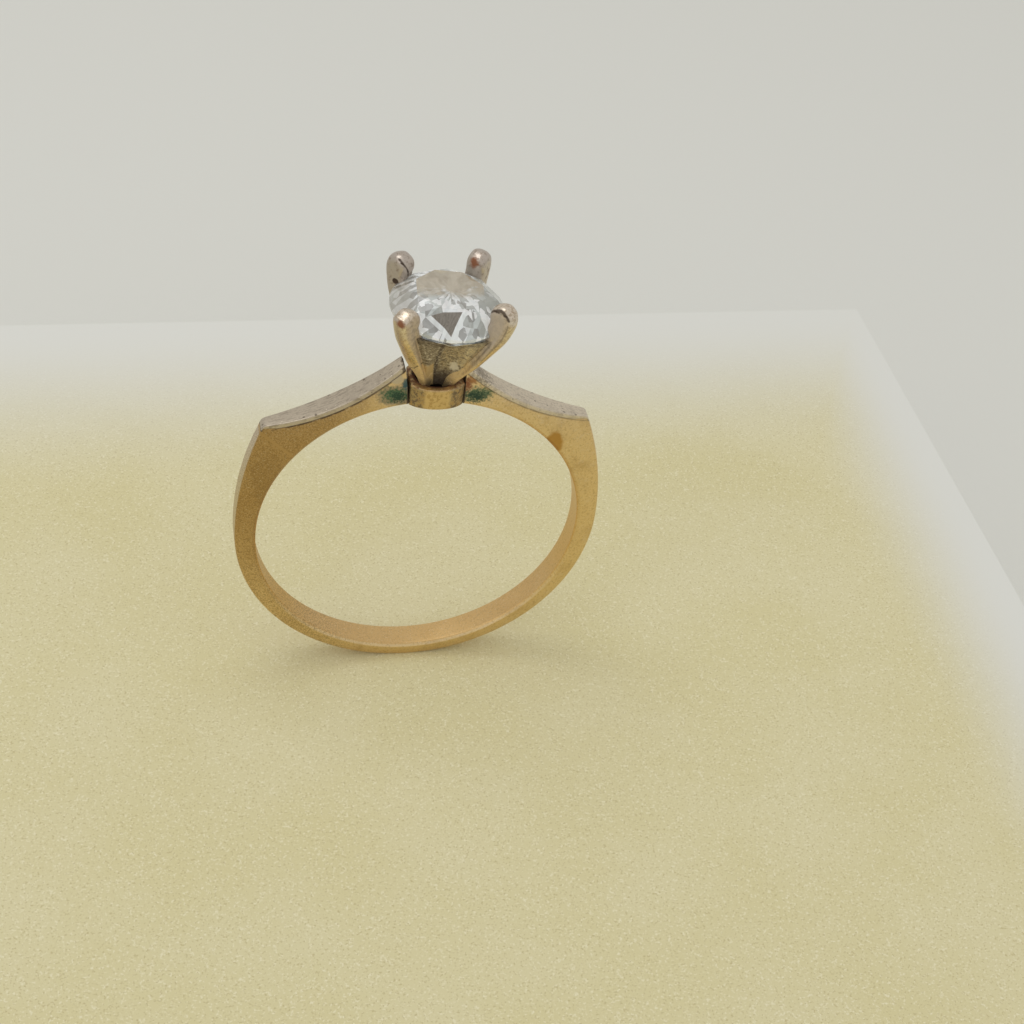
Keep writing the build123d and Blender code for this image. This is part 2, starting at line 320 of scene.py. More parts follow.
def make_seam(side, name):
    """A thin slice of solder that stands a hair proud at its middle."""
    overlap = 1.2
    swell = 0.001
    rings = []
    for share in spaced(-1, 1, 7):
        angle = SEAM_ANGLE + seam_reach() * overlap * share
        proud = swell * (1 - share**2)
        high_u = outer_r(angle) - FINGER_R + proud
        rings.append(bar_ring(side, angle, 0, high_u, OUTER_ROUND, proud=proud))
    return loft(name, rings)


# ---------------------------------------------------------------- collet
COLLET_LIP = 0.07
# Heights above the finger hole's wall where the lower edges are eased, and by how much at most.
EASED_GAPS = (0.0, 0.03, 0.08)
EASED_BY = 0.04
WALL_FROM_Z = 8.75
# How the solder floor, painted near-black as shade, sags toward the middle of the mouth: share of the bore,
# height over the floor.
SOLDER_SAG = [(0.95, 0.02), (0.85, 0.0), (0.5, -0.02), (0.02, -0.02)]


def eased(gap):
    return EASED_BY * (1 - gap / EASED_GAPS[-1]) ** 2


def collet_ring(radius_x, radius_y, z, flat, floor_gap=None, count=192):
    ring = []
    for k in range(count):
        turn = 2 * math.pi * k / count
        x = radius_x * math.cos(turn)
        y = radius_y * math.sin(turn)
        x = max(-flat, min(flat, x))
        world_x = HEAD_X + x
        z_here = z if floor_gap is None else math.sqrt(FINGER_R**2 - world_x**2) + floor_gap
        ring.append((world_x, y, z_here))
    return ring


def make_collet():
    """The tube with a solder floor in its mouth, which the collet's material paints near-black as shade,
    skinned from the bottom's middle round.
    """
    out_x, out_y = COLLET_OUT
    in_x, in_y = COLLET_IN
    rings = []
    for share in (0.02, 0.5, 1.0):
        rings.append(collet_ring(in_x * share, in_y * share, COLLET_FLOOR - COLLET_FLOOR_T, in_x))
    for gap in reversed(EASED_GAPS):
        grow = eased(gap)
        rings.append(collet_ring(in_x + grow, in_y + grow, 0, in_x + grow, gap))
    for gap in EASED_GAPS:
        shrink = eased(gap)
        rings.append(collet_ring(out_x - shrink, out_y - shrink, 0, COLLET_HALF_X - shrink, gap))
    for z in spaced(WALL_FROM_Z, COLLET_TOP - COLLET_LIP, 8):
        rings.append(collet_ring(out_x, out_y, z, COLLET_HALF_X))
    for k in range(1, 8):
        turn = math.pi * k / 8
        inward = (1 - math.cos(turn)) / 2
        rise = COLLET_TOP - COLLET_LIP * (1 - math.sin(turn))
        rings.append(collet_ring(out_x + (in_x - out_x) * inward, out_y + (in_y - out_y) * inward,
                                 rise, COLLET_HALF_X + (in_x - COLLET_HALF_X) * inward))
    for z in spaced(COLLET_TOP - COLLET_LIP, COLLET_FLOOR + 0.06, 5):
        rings.append(collet_ring(in_x, in_y, z, in_x))
    for share, sag in SOLDER_SAG:
        rings.append(collet_ring(in_x * share, in_y * share, COLLET_FLOOR + sag, in_x))
    return loft("collet_tube", rings)


# ---------------------------------------------------------------- head
tilt = math.radians(HEAD_TILT)
HEAD_AXIS = Vector((math.sin(tilt), 0, math.cos(tilt)))
HEAD_SIDE = Vector((math.cos(tilt), 0, -math.sin(tilt)))
HEAD_DEPTH = Vector((0, 1, 0))
HEAD_ORIGIN = Vector((HEAD_X, 0, COLLET_TOP))


def head_point(azimuth, radius, up, across=0.0):
    """A point of the head in mm: azimuth in degrees, distance out, height, step sideways."""
    turn = math.radians(azimuth)
    out = HEAD_SIDE * math.cos(turn) + HEAD_DEPTH * math.sin(turn)
    sideways = HEAD_SIDE * -math.sin(turn) + HEAD_DEPTH * math.cos(turn)
    return HEAD_ORIGIN + out * radius + sideways * across + HEAD_AXIS * up


pavilion_slope = math.tan(math.radians(PAVILION_ANGLE))
GIRDLE_LOW = GIRDLE_UP - GIRDLE_T / 2
TABLE_UP = GIRDLE_UP + GIRDLE_T / 2 + STONE_R * (1 - TABLE_RATIO) * math.tan(math.radians(CROWN_ANGLE))


def pavilion_r(up):
    return STONE_R - (GIRDLE_LOW - up) / pavilion_slope


def circle_through(a, b, c):
    """Centre and radius of the circle through three points."""
    rows = np.array([[2 * (p[0] - a[0]), 2 * (p[1] - a[1])] for p in (b, c)])
    sides = np.array([p[0]**2 + p[1]**2 - a[0]**2 - a[1]**2 for p in (b, c)])
    centre = np.linalg.solve(rows, sides)
    return centre, math.hypot(a[0] - centre[0], a[1] - centre[1])


# The cup's four flutes: their radius, and the radius and height of three places along their bottoms.
FLUTE_R = 1.10
FLUTE_BOTTOM = [(0.45, -0.60), (1.22, 1.80), (2.69, 3.95)]
flute_centre, flute_arc_r = circle_through(*FLUTE_BOTTOM)
# Height and half side of the square cup, at its foot and at its rim.
CUP_FOOT = (-0.20, 0.70)
CUP_RIM = (3.75, 2.58)
CUP_SQUARENESS = 3.2
FLUTE_EDGE_ROUND = 0.05
SEAT_GAP = 0.03
THINNEST_RIM = 0.03
LOWEST_RIM_UP = 2.6
DRAIN_R = 0.3


def flute_bottom(up):
    return flute_centre[0] - math.sqrt(flute_arc_r**2 - (up - flute_centre[1]) ** 2)


def cup_outer(azimuth, up):
    """Outer radius of the fluted cup at an azimuth and a height."""
    share = (up - CUP_FOOT[0]) / (CUP_RIM[0] - CUP_FOOT[0])
    half_side = CUP_FOOT[1] + (CUP_RIM[1] - CUP_FOOT[1]) * share
    turn = math.radians(azimuth)
    power = CUP_SQUARENESS
    square = half_side / (abs(math.cos(turn)) ** power + abs(math.sin(turn)) ** power) ** (1 / power)
    off = math.radians((azimuth + 45) % 90 - 45)
    axis_r = flute_bottom(up) + FLUTE_R
    inside = FLUTE_R**2 - (axis_r * math.sin(off)) ** 2
    if inside <= 0:
        return square
    flute = axis_r * math.cos(off) - math.sqrt(inside)
    return soft_min(square, flute, FLUTE_EDGE_ROUND, strength=0.6)


def make_cup():
    columns = 288
    levels = 70
    rings_outer = [[None] * columns for _ in range(levels)]
    rings_inner = [[None] * columns for _ in range(levels)]
    for c in range(columns):
        azimuth = 360 * c / columns
        # the rim is where the seat comes out through the flutes
        rim = CUP_RIM[0]
        for up in spaced(LOWEST_RIM_UP, CUP_RIM[0], 200):
            if pavilion_r(up) + SEAT_GAP + THINNEST_RIM > cup_outer(azimuth, up):
                rim = up
                break
        for k, up in enumerate(spaced(CUP_FOOT[0], rim, levels)):
            outer = cup_outer(azimuth, up)
            inner = max(DRAIN_R, min(pavilion_r(up) + SEAT_GAP, outer - 0.02))
            rings_outer[k][c] = head_point(azimuth, outer, up)
            rings_inner[k][c] = head_point(azimuth, inner, up)
    return loft("cup_body", rings_outer + rings_inner[::-1], ends="loop")


# ---------------------------------------------------------------- claws
# All four claws are alike up to CLAW_STRAIGHT_UP; the swell above is for a reach of 3.9.
CLAW_STRAIGHT_UP = 1.6
CLAW_STEM = [(0.98, -0.42), (1.05, -0.25), (1.22, 0.15), (1.56, 0.7), (2.20, 1.6)]
CLAW_SWELL = [(2.95, 2.75), (3.55, 3.75), (3.90, 4.72)]
CLAW_DEPTH = 1.28
CLAW_INSIDE = [(2.30, 3.40), (1.00, 1.30), (0.55, 0.20), (0.55, -0.42)]
CLAW_WIDTHS = [(-0.8, 0.14), (0.0, 0.20), (1.25, 0.47), (2.4, 0.52), (4.0, 0.49), (7.0, 0.49)]
# Slices across a claw as (share of its half width, how far the outline shrinks there).
CLAW_PILLOW = [(-1.0, 0.34), (-0.93, 0.20), (-0.75, 0.09), (-0.4, 0.02), (0.0, 0.0),
               (0.4, 0.02), (0.75, 0.09), (0.93, 0.20), (1.0, 0.34)]
# The shrinking grows from a share of it at the lower height to all of it at the upper one.
PILLOW_UPS = (1.5, 4.2)
PILLOW_SHARES = (0.30, 1.0)
VOXEL = 0.035
SOFTEN_PASSES = 12
SEAT_SWELL = 1.008
WELD_M = 1e-7


def smooth_path(points, per_span=6):
    """Catmull-Rom curve through 2D points."""
    out = []
    pts = [Vector(p) for p in points]
    for i in range(len(pts) - 1):
        p0 = pts[max(i - 1, 0)]
        p1, p2 = pts[i], pts[i + 1]
        p3 = pts[min(i + 2, len(pts) - 1)]
        for k in range(per_span):
            t = k / per_span
            out.append(0.5 * (2 * p1 + (p2 - p0) * t + (2 * p0 - 5 * p1 + 4 * p2 - p3) * t**2
                              + (3 * p1 - p0 - 3 * p2 + p3) * t**3))
    out.append(pts[-1])
    return out


def width_at(up):
    ups = [u for u, _ in CLAW_WIDTHS]
    halves = [h for _, h in CLAW_WIDTHS]
    return float(np.interp(up, ups, halves))


def apply_modifiers(obj):
    bpy.context.view_layer.update()
    graph = bpy.context.evaluated_depsgraph_get()
    mesh = bpy.data.meshes.new_from_object(obj.evaluated_get(graph))
    old = obj.data
    obj.modifiers.clear()
    obj.data = mesh
    mesh.name = obj.name
    bpy.data.meshes.remove(old)
    mesh.polygons.foreach_set("use_smooth", [True] * len(mesh.polygons))


def stone_cutter():
    """The stone swelled a hair, to cut its seat out of the metal with a thin air gap."""
    cutter = frame["nodes"]["round_brilliant"].copy()
    cutter.data = cutter.data.copy()
    cutter.name = "cutter"
    scene.collection.objects.link(cutter)
    low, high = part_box("round_brilliant")
    middle = (low + high) / 2
    swell = Matrix.Translation(middle) @ Matrix.Scale(SEAT_SWELL, 4) @ Matrix.Translation(-middle)
    cutter.data.transform(swell)
    bm = bmesh.new()
    bm.from_mesh(cutter.data)
    bmesh.ops.remove_doubles(bm, verts=bm.verts, dist=WELD_M)
    bm.to_mesh(cutter.data)
    bm.free()
    return cutter


def claw_outline(reach, tip_up):
    """Side profile of a claw: up the outside, over the bead, down the nose and the inside."""
    widest_r, widest_up = CLAW_SWELL[-1]
    swell = []
    for radius, up in CLAW_SWELL:
        share = (up - CLAW_STRAIGHT_UP) / (widest_up - CLAW_STRAIGHT_UP)
        swell.append((radius + (reach - widest_r) * share, up))
    nose = reach - CLAW_DEPTH
    bead = [(reach - 0.04, (widest_up + tip_up) / 2 + 0.05), (reach - 0.24, tip_up - 0.16),
            (reach - 0.62, tip_up), (nose + 0.17, tip_up - 0.20), (nose, tip_up - 0.58),
            (nose + 0.06, tip_up - 0.95)]
    return smooth_path(CLAW_STEM + swell + bead) + [Vector(p) for p in CLAW_INSIDE]


def make_claw(name, azimuth, reach, tip_up, cutter):
    outline = claw_outline(reach, tip_up)
    count = len(outline)
    inward = []
    for i, p in enumerate(outline):
        along = outline[(i + 1) % count] - outline[i - 1]
        inward.append(Vector((-along.y, along.x)).normalized())
    rings = []
    for layer, inset in CLAW_PILLOW:
        ring = []
        for i, p in enumerate(outline):
            share = np.interp(p.y, PILLOW_UPS, PILLOW_SHARES) if i < count - len(CLAW_INSIDE) else 0
            q = p + inward[i] * inset * share
            ring.append(head_point(azimuth, q.x, q.y, layer * width_at(p.y)))
        rings.append(ring)
    claw = loft(name, rings)
    remesh = claw.modifiers.new("remesh", "REMESH")
    remesh.mode = "VOXEL"
    remesh.voxel_size = VOXEL * MM
    soften = claw.modifiers.new("soften", "SMOOTH")
    soften.factor = 0.5
    soften.iterations = SOFTEN_PASSES
    apply_modifiers(claw)
    cut = claw.modifiers.new("seat", "BOOLEAN")
    cut.operation = "DIFFERENCE"
    cut.object = cutter
    cut.solver = "EXACT"
    apply_modifiers(claw)
    return claw


# ---------------------------------------------------------------- materials
class Nodes:
    """Short way to wire a material's nodes."""

    def __init__(self, name):
        self.material = bpy.data.materials.new(name)
        self.material.use_nodes = True
        self.tree = self.material.node_tree
        self.tree.nodes.clear()
        self.out = self.tree.nodes.new("ShaderNodeOutputMaterial")
        self.coords = self.tree.nodes.new("ShaderNodeTexCoord").outputs["Object"]

    def link(self, value, socket):
        if isinstance(value, bpy.types.NodeSocket):
            self.tree.links.new(value, socket)
        else:
            socket.default_value = value

    def math(self, kind, a, b=0.0, c=0.0, clamp=False):
        node = self.tree.nodes.new("ShaderNodeMath")
        node.operation = kind
        node.use_clamp = clamp
        for value, socket in zip((a, b, c), node.inputs):
            self.link(value, socket)
        return node.outputs[0]

    def vector(self, kind, a, b=(0, 0, 0)):
        node = self.tree.nodes.new("ShaderNodeVectorMath")
        node.operation = kind
        self.link(a, node.inputs[0])
        self.link(b, node.inputs[1])
        return node.outputs["Value"] if kind in ("LENGTH", "DISTANCE", "DOT_PRODUCT") else node.outputs[0]

    def step(self, value, low, high, to_low=0.0, to_high=1.0):
        node = self.tree.nodes.new("ShaderNodeMapRange")
        node.interpolation_type = "SMOOTHSTEP"
        for v, s in zip((value, low, high, to_low, to_high), node.inputs):
            self.link(v, s)
        return node.outputs[0]

    def noise(self, per_mm, detail=3.0, rough=0.55, stretch=(1, 1, 1), offset=(0, 0, 0), distort=0.0):
        where = self.vector("MULTIPLY", self.coords, tuple(s * per_mm * 1000 for s in stretch))
        if any(offset):
            where = self.vector("ADD", where, offset)
        node = self.tree.nodes.new("ShaderNodeTexNoise")
        self.link(where, node.inputs["Vector"])
        node.inputs["Scale"].default_value = 1.0
        node.inputs["Detail"].default_value = detail
        node.inputs["Roughness"].default_value = rough
        node.inputs["Distortion"].default_value = distort
        return node.outputs["Fac"]

    def cells(self, per_mm, offset=(0, 0, 0)):
        where = self.vector("MULTIPLY", self.coords, (per_mm * 1000,) * 3)
        where = self.vector("ADD", where, offset)
        node = self.tree.nodes.new("ShaderNodeTexVoronoi")
        self.link(where, node.inputs["Vector"])
        node.inputs["Scale"].default_value = 1.0
        return node.outputs["Distance"]

    def mix(self, share, a, b):
        node = self.tree.nodes.new("ShaderNodeMix")
        node.data_type = "RGBA"
        self.link(share, node.inputs[0])
        self.link(a + (1,) if isinstance(a, tuple) else a, node.inputs[6])
        self.link(b + (1,) if isinstance(b, tuple) else b, node.inputs[7])
        return node.outputs[2]

    def spot(self, centre_mm, radii_mm, ragged=0.35, per_mm=2.5, fade=(0.75, 1.15)):
        """1 inside a ragged ellipsoid round a place on the ring, fading to 0 outside."""
        away = self.vector("SUBTRACT", self.coords, tuple(c * MM for c in centre_mm))
        away = self.vector("MULTIPLY", away, tuple(1 / (r * MM) for r in radii_mm))
        away = self.vector("LENGTH", away)
        rag = self.noise(per_mm, detail=4, offset=centre_mm)
        rag = self.math("MULTIPLY_ADD", rag, -2 * ragged, ragged)
        away = self.math("ADD", away, rag)
        return self.step(away, *fade, 1.0, 0.0)

    def crease(self, azimuth, start, end, width_mm, reach=(0, 9)):
        """1 along a ragged line on a claw, from one (across, up) place to the next, within a reach."""
        turn = math.radians(azimuth)
        out = HEAD_SIDE * math.cos(turn) + HEAD_DEPTH * math.sin(turn)
        start, end = [head_point(azimuth, 0, up, across) * MM for across, up in (start, end)]
        along = end - start
        away = self.vector("SUBTRACT", self.coords, tuple(start))
        deep = self.vector("DOT_PRODUCT", away, tuple(out))
        away = self.vector("SUBTRACT", away, self.scaled(out, deep))
        share = self.vector("DOT_PRODUCT", away, tuple(along / along.length_squared))
        share = self.math("MULTIPLY", share, 1.0, clamp=True)
        gap = self.math("MULTIPLY", self.vector("DISTANCE", away, self.scaled(along, share)), 1000)
        gap = self.math("MULTIPLY_ADD", self.noise(9.0, detail=3), width_mm, gap)
        line = self.step(gap, width_mm * 0.8, width_mm * 1.5, 1.0, 0.0)
        inside = self.step(deep, reach[0] * MM, (reach[0] + 0.1) * MM)
        outside = self.step(deep, reach[1] * MM, (reach[1] + 0.1) * MM, 1.0, 0.0)
        return self.both(line, self.both(inside, outside))

    def scaled(self, vector, by):
        """A constant vector times a changing number."""
        node = self.tree.nodes.new("ShaderNodeVectorMath")
        node.operation = "SCALE"
        node.inputs[0].default_value = tuple(vector)
        self.link(by, node.inputs["Scale"])
        return node.outputs[0]

    def facing(self, direction, low, high):
        """1 where the surface faces a fixed direction of the ring."""
        normal = self.tree.nodes.new("ShaderNodeTexCoord").outputs["Normal"]
        return self.step(self.vector("DOT_PRODUCT", normal, direction), low, high)

    def band(self, value, middle, half, fade):
        """1 where a value is within half of the middle, fading over the next stretch."""
        away = self.math("ABSOLUTE", self.math("SUBTRACT", value, middle))
        return self.step(away, half, half + fade, 1.0, 0.0)

    def both(self, a, b):
        """Where two masks overlap."""
        return self.math("MULTIPLY", a, b)

    def position(self, axis):
        """The place along X, Y or Z (0, 1 or 2), in mm."""
        node = self.tree.nodes.new("ShaderNodeSeparateXYZ")
        self.link(self.coords, node.inputs[0])
        return self.math("MULTIPLY", node.outputs[axis], 1000)

    def from_head(self, direction):
        """How far along a direction the place is from the head's origin, in mm."""
        away = self.vector("SUBTRACT", self.coords, tuple(c * MM for c in HEAD_ORIGIN))
        return self.math("MULTIPLY", self.vector("DOT_PRODUCT", away, tuple(direction)), 1000)

    def head_reach(self):
        """Distance from the head's axis, in mm."""
        side, depth = self.from_head(HEAD_SIDE), self.from_head(HEAD_DEPTH)
        return self.math("SQRT", self.math("MULTIPLY_ADD", side, side, self.both(depth, depth)))

    def hoop_reach(self):
        """Distance from the finger hole's axis, in mm."""
        return self.vector("LENGTH", self.vector("MULTIPLY", self.coords, (1000, 0, 1000)))

    def top_face_depth(self, side):
        """Depth in mm below the dished top face of the left (-1) or right (1) shoulder."""
        centre = (side * DISH_CENTRE[0] * MM, 0, DISH_CENTRE[1] * MM)
        away = self.vector("MULTIPLY", self.vector("SUBTRACT", self.coords, centre), (1, 0, 1))
        return self.math("MULTIPLY_ADD", self.vector("LENGTH", away), 1000, -DISH_R)

    def bump(self, height, strength, distance_mm, under=None):
        node = self.tree.nodes.new("ShaderNodeBump")
        node.inputs["Strength"].default_value = strength
        node.inputs["Distance"].default_value = distance_mm * MM
        self.link(height, node.inputs["Height"])
        if under is not None:
            self.link(under, node.inputs["Normal"])
        return node.outputs[0]

    def finish_metal(self, color, rough, metallic, normal):
        node = self.tree.nodes.new("ShaderNodeBsdfPrincipled")
        self.link(color, node.inputs["Base Color"])
        self.link(rough, node.inputs["Roughness"])
        self.link(metallic, node.inputs["Metallic"])
        self.link(normal, node.inputs["Normal"])
        self.tree.links.new(node.outputs[0], self.out.inputs[0])
        return self.material


GOLD = (0.80, 0.60, 0.31)
GOLD_DARK = (0.50, 0.33, 0.14)
GOLD_BROWN = (0.42, 0.26, 0.10)
GOLD_ORANGE = (0.72, 0.46, 0.18)
GOLD_PALE = (0.95, 0.85, 0.62)
GOLD_GREYED = (0.70, 0.63, 0.50)
ROSE_GOLD = (0.78, 0.66, 0.53)
WHITE_GOLD = (0.75, 0.655, 0.51)
WHITE_GOLD_DARK = (0.40, 0.335, 0.26)
TAUPE = (0.30, 0.235, 0.14)
BEIGE = (0.60, 0.50, 0.34)
AMBER = (0.50, 0.27, 0.06)
ORANGE = (0.42, 0.20, 0.06)
RUST = (0.27, 0.095, 0.035)
GREEN = (0.060, 0.135, 0.060)
GREEN_DARK = (0.015, 0.045, 0.025)
BLUE_GREEN = (0.02, 0.10, 0.12)
# A dark brown used for dirt and also for painted shade.
BROWN_DIRT_AND_SHADE = (0.055, 0.032, 0.018)
# A near-black for painted shade.
BLACK_SHADE = (0.05, 0.03, 0.015)


class Metal(Nodes):
    """A metal whose colour is built up in layers; layers of dirt, and of painted shade and light, also dull
    it.
    """

    def __init__(self, name, color, rough):
        super().__init__(name)
        self.color = color
        self.rough = rough
        self.dirt_and_light_mask = 0.0

    def tint(self, mask, color, strength=1.0):
        self.color = self.mix(self.math("MULTIPLY", mask, strength), self.color, color)

    def paint_dirt_and_light(self, mask, color, strength=1.0):
        """A layer of dirt, also used for painted shade and painted light: coloured, rough and not metallic.
        """
        mask = self.math("MULTIPLY", mask, strength)
        self.color = self.mix(mask, self.color, color)
        self.dirt_and_light_mask = self.math("MAXIMUM", self.dirt_and_light_mask, mask)

    def mottle(self, tarnish, amount, per_mm=0.9, low=0.46, high=0.72):
        blotch = self.noise(per_mm, detail=6, rough=0.72)
        self.tint(self.step(blotch, low, high), tarnish, amount)

    def speckle(self, color, amount, per_mm=7.0, low=0.58, high=0.66):
        self.tint(self.step(self.noise(per_mm, detail=3, rough=0.6), low, high), color, amount)

    def clean(self, mask):
        """Take the dull layers of dirt and painted light off where the mask is 1."""
        self.dirt_and_light_mask = self.both(self.dirt_and_light_mask, self.math("SUBTRACT", 1.0, mask))

    def finish(self, grain=0.25, scratch=0.15, pits=0.0):
        brush = self.noise(1.6, detail=3, stretch=(1, 10, 7), distort=0.4)
        rough = self.math("MULTIPLY_ADD", brush, 0.14, self.rough - 0.05)
        rough = self.math("MULTIPLY_ADD", self.dirt_and_light_mask, 0.45, rough, clamp=True)
        fine = self.noise(12, detail=4, rough=0.65)
        lumps = self.noise(1.1, detail=3)
        normal = self.bump(lumps, 0.35, 0.05)
        normal = self.bump(fine, grain, 0.02, normal)
        normal = self.bump(brush, scratch, 0.02, normal)
        if pits:
            holes = self.step(self.cells(3.2), 0.02, 0.22)
            normal = self.bump(holes, pits, 0.03, normal)
        metallic = self.math("MULTIPLY_ADD", self.dirt_and_light_mask, -0.8, 1.0)
        return self.finish_metal(self.color, rough, metallic, normal)


# Old solder run into the inner edge of the right arm.
AMBER_RUN = ((6.5, -0.8, 5.62), (0.50, 0.40, 0.80))
LEFT_ARM_X = (-1.5, -5.5)
PLATE_SEAM_DIRT = {-1: 0.75, 1: 0.35}
PLATE_EDGE_DIRT = {-1: 0.7, 1: 0.25}
# Dirt and verdigris round the collet's joints, with the left joint first: place, radii, raggedness,
# lumps per mm, where it fades, colour and strength.
JOINT_DIRT = [
    ((-1.75, -0.7, 8.95), (1.05, 0.45, 0.62), 0.7, 2.6, (0.75, 1.15), TAUPE, 0.7),
    ((-1.85, -0.7, 8.98), (0.80, 0.40, 0.45), 1.1, 8.0, (0.4, 1.2), GREEN, 0.95),
    ((-1.65, -0.7, 8.85), (0.55, 0.40, 0.40), 1.6, 12.0, (0.3, 1.0), GREEN_DARK, 0.8),
    ((-1.38, -0.6, 9.58), (0.20, 0.30, 0.34), 0.9, 9.0, (0.4, 1.2), BLUE_GREEN, 0.9),
    ((2.25, -0.7, 8.88), (0.92, 0.45, 0.46), 1.0, 8.0, (0.4, 1.2), GREEN, 0.9),
    ((2.10, -0.7, 8.75), (0.70, 0.40, 0.40), 1.6, 12.0, (0.3, 1.0), GREEN_DARK, 0.85),
    ((1.72, -0.6, 9.45), (0.25, 0.30, 0.42), 0.9, 8.0, (0.4, 1.2), RUST, 0.95),
    ((2.00, -0.55, 9.72), (0.24, 0.30, 0.26), 0.9, 8.0, (0.4, 1.2), ORANGE, 0.9),
    ((-1.20, -0.7, 9.0), (0.10, 0.60, 1.3), 0.2, 5.0, (0.75, 1.15), BROWN_DIRT_AND_SHADE, 0.9),
    ((1.52, -0.7, 9.0), (0.10, 0.60, 1.3), 0.2, 5.0, (0.75, 1.15), BROWN_DIRT_AND_SHADE, 0.9),
]


def yellow_gold(name):
    m = Metal(name, GOLD, 0.34)
    m.mottle(GOLD_DARK, 0.55, per_mm=0.55)
    m.mottle(ROSE_GOLD, 0.35, per_mm=1.7, low=0.52, high=0.75)
    return m


def hoop_gold_material():
    m = yellow_gold("hoop_gold")
    x, z = m.position(0), m.position(2)
    # the left arm is browner, most of all toward its corner
    left = m.step(x, *LEFT_ARM_X)
    m.tint(m.both(left, m.step(z, -8.0, 3.0)), GOLD_BROWN, 0.80)
    worn = m.spot((-8.0, -0.8, 3.9), (0.9, 0.6, 1.8), ragged=0.9, per_mm=1.5)
    m.tint(worn, (0.22, 0.14, 0.06), 0.22)
    # painted reflection: faces turned to the left are painted greyer
    m.tint(m.facing((-0.99, 0, 0.1), 0.80, 0.95), GOLD_GREYED, 0.7)
    # painted reflection: the finger hole's wall is painted a deeper orange gold, as gold mirroring gold
    wall = m.step(m.hoop_reach(), FINGER_R + 0.02, FINGER_R + 0.10, 1.0, 0.0)
    m.tint(wall, GOLD_ORANGE, 0.75)
    # fine grain, browner on the left arm
    m.speckle(GOLD_DARK, 0.45, per_mm=9.0, low=0.50, high=0.66)
    m.speckle(GOLD_PALE, 0.35, per_mm=14.0, low=0.56, high=0.70)
    grain = m.step(m.noise(13.0, detail=2, rough=0.7), 0.46, 0.60)
    m.tint(m.both(left, grain), (0.26, 0.16, 0.06), 0.55)
    # a broken dark line under each plate
    for side, strength in PLATE_SEAM_DIRT.items():
        own = m.step(m.math("MULTIPLY", x, side), 0.0, 0.2)
        line = m.band(m.top_face_depth(side), PLATE_T + 0.02, 0.015, 0.035)
        broken = m.step(m.noise(1.8, detail=3, offset=(side, 2, 1)), 0.32, 0.55)
        m.paint_dirt_and_light(m.both(m.both(line, own), broken), BROWN_DIRT_AND_SHADE, strength)
    m.tint(m.spot(*AMBER_RUN), AMBER, 0.9)
    for where, radii, ragged, per_mm, fade, color, strength in JOINT_DIRT:
        m.paint_dirt_and_light(m.spot(where, radii, ragged, per_mm, fade), color, strength)
    m.tint(m.spot((-1.85, -0.55, 9.85), (0.38, 0.3, 0.28), ragged=0.3), BEIGE, 0.95)
    return m.finish()


def plate_gold_material():
    m = Metal("plate_gold", WHITE_GOLD, 0.38)
    m.mottle(WHITE_GOLD_DARK, 0.35, per_mm=1.2)
    x = m.position(0)
    m.tint(m.step(x, 0.0, -3.0), WHITE_GOLD_DARK, 0.45)
    # long fine scratches, most on the left plate, and dark pits
    scratch = m.noise(2.2, detail=4, stretch=(0.35, 6, 1.6), distort=0.5)
    most_left = m.step(x, 1.0, -1.0, 0.35, 0.9)
    m.tint(m.both(m.step(scratch, 0.54, 0.62), most_left), WHITE_GOLD_DARK)
    m.speckle(WHITE_GOLD_DARK, 0.4, per_mm=8.0, low=0.50, high=0.64)
    m.paint_dirt_and_light(m.step(m.cells(1.9, offset=(3, 1, 4)), 0.16, 0.10), BROWN_DIRT_AND_SHADE, 0.55)
    # a smear beside the head on the right, and the left plate's dirty inner end
    smear = m.spot((2.4, -0.1, 9.65), (0.9, 0.9, 0.6), ragged=2.0, per_mm=9.0, fade=(0.2, 1.1))
    m.paint_dirt_and_light(smear, BROWN_DIRT_AND_SHADE, 0.45)
    m.paint_dirt_and_light(m.spot((-1.45, 0, 10.3), (0.16, 0.9, 0.4), ragged=0.6, per_mm=6.0), BROWN_DIRT_AND_SHADE, 0.7)
    for side, strength in PLATE_EDGE_DIRT.items():
        own = m.step(m.math("MULTIPLY", x, side), 0.0, 0.2)
        line = m.step(m.top_face_depth(side), PLATE_T - 0.06, PLATE_T - 0.01)
        m.paint_dirt_and_light(m.both(line, own), BROWN_DIRT_AND_SHADE, strength)
    return m.finish(grain=0.45, scratch=0.4, pits=0.5)


def solder_material():
    m = yellow_gold("solder")
    m.tint(m.step(m.position(0), *LEFT_ARM_X), GOLD_BROWN, 0.80)
    m.tint(m.spot(*AMBER_RUN), AMBER, 0.9)
    m.speckle(GOLD_DARK, 0.30)
    return m.finish()


